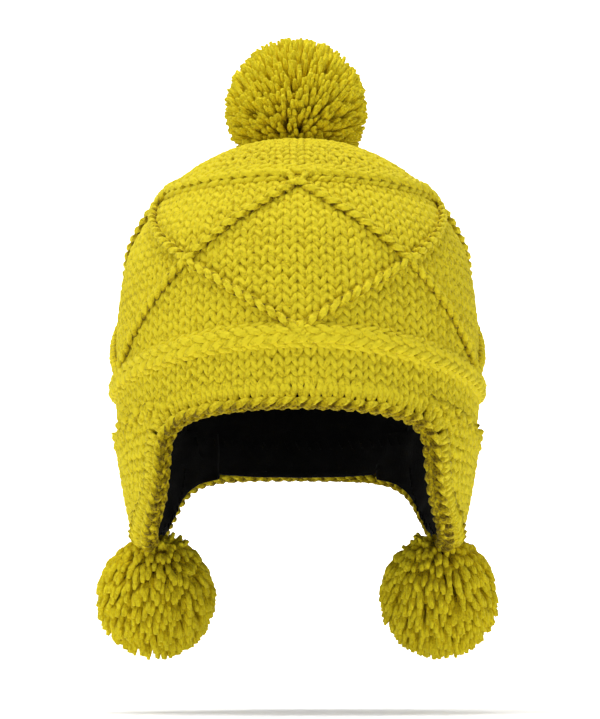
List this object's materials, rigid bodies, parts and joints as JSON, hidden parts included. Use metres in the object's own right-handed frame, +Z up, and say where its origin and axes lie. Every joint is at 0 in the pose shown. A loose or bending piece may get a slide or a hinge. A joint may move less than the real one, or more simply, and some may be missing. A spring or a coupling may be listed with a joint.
{
  "type": "pom pom beanie",
  "caption": "Knitted winter beanie with raised diamond lattice, fleece lining, folding ear flaps and a swinging yarn pompom on the crown and on each flap tip.",
  "frame": {"origin": "centre of the head opening, in the plane of the shell lower edge at the sides", "axes": "+Z up through the crown, the wearer faces -Y, the wearer left is +X"},
  "size_m": [0.2016, 0.2148, 0.3146],
  "materials": {
    "knit": "chunky plied wool, stocking stitch",
    "edging_yarn": "crocheted plied wool",
    "pompom_yarn": "cut wool yarn, soft",
    "tying_yarn": "twisted wool yarn",
    "fleece": "brushed black fleece",
    "thread": "matt sewing thread"
  },
  "bodies": {
    "crown": {"knit_shell": "knit", "crown_gather_yarn": "tying_yarn", "crown_anchor_knot": "tying_yarn", "brow_edging": "edging_yarn", "nape_edging": "edging_yarn", "lining_front_gore": "fleece", "lining_back_gore": "fleece", "lining_left_gore": "fleece", "lining_right_gore": "fleece", "lining_seam_thread": "thread", "brow_hem_stitches": "thread", "nape_hem_stitches": "thread"},
    "left_flap": {"left_earflap_knit": "knit", "left_earflap_lining": "fleece", "left_earflap_edging": "edging_yarn", "left_earflap_hem_stitches": "thread"},
    "left_tie": {"left_pompom_tie": "tying_yarn"},
    "left_pompom": {"left_pompom_binding": "tying_yarn", "left_pompom_strands": "pompom_yarn"},
    "right_flap": {"right_earflap_knit": "knit", "right_earflap_lining": "fleece", "right_earflap_edging": "edging_yarn", "right_earflap_hem_stitches": "thread"},
    "right_tie": {"right_pompom_tie": "tying_yarn"},
    "right_pompom": {"right_pompom_binding": "tying_yarn", "right_pompom_strands": "pompom_yarn"},
    "top_tie": {"top_pompom_tie": "tying_yarn"},
    "top_pompom": {"top_pompom_binding": "tying_yarn", "top_pompom_strands": "pompom_yarn"}
  },
  "joints": [
    {"name": "left_flap_fold", "type": "hinge", "parent": "crown", "child": "left_flap", "pos_m": [0.0934, 0, -0.001], "axis": [0, -1, 0], "range_deg": [-8, 150], "stiffness_Nm_per_rad": 0.12},
    {"name": "left_pompom_sideways", "type": "hinge", "parent": "left_flap", "child": "left_tie", "pos_m": [0.0715, 0, -0.0604], "axis": [0, 1, 0], "range_deg": [-20, 20]},
    {"name": "left_pompom_fore_aft", "type": "hinge", "parent": "left_tie", "child": "left_pompom", "pos_m": [0.0715, 0, -0.0668], "axis": [1, 0, 0], "range_deg": [-20, 20]},
    {"name": "right_flap_fold", "type": "hinge", "parent": "crown", "child": "right_flap", "pos_m": [-0.0934, 0, -0.001], "axis": [0, 1, 0], "range_deg": [-8, 150], "stiffness_Nm_per_rad": 0.12},
    {"name": "right_pompom_sideways", "type": "hinge", "parent": "right_flap", "child": "right_tie", "pos_m": [-0.0715, 0, -0.0604], "axis": [0, 1, 0], "range_deg": [-20, 20]},
    {"name": "right_pompom_fore_aft", "type": "hinge", "parent": "right_tie", "child": "right_pompom", "pos_m": [-0.0715, 0, -0.0668], "axis": [1, 0, 0], "range_deg": [-20, 20]},
    {"name": "top_pompom_sway", "type": "hinge", "parent": "crown", "child": "top_tie", "pos_m": [0, 0, 0.1485], "axis": [0, 1, 0], "range_deg": [-12, 12], "stiffness_Nm_per_rad": 0.08},
    {"name": "top_pompom_nod", "type": "hinge", "parent": "top_tie", "child": "top_pompom", "pos_m": [0, 0, 0.1549], "axis": [1, 0, 0], "range_deg": [-12, 12], "stiffness_Nm_per_rad": 0.08}
  ]
}
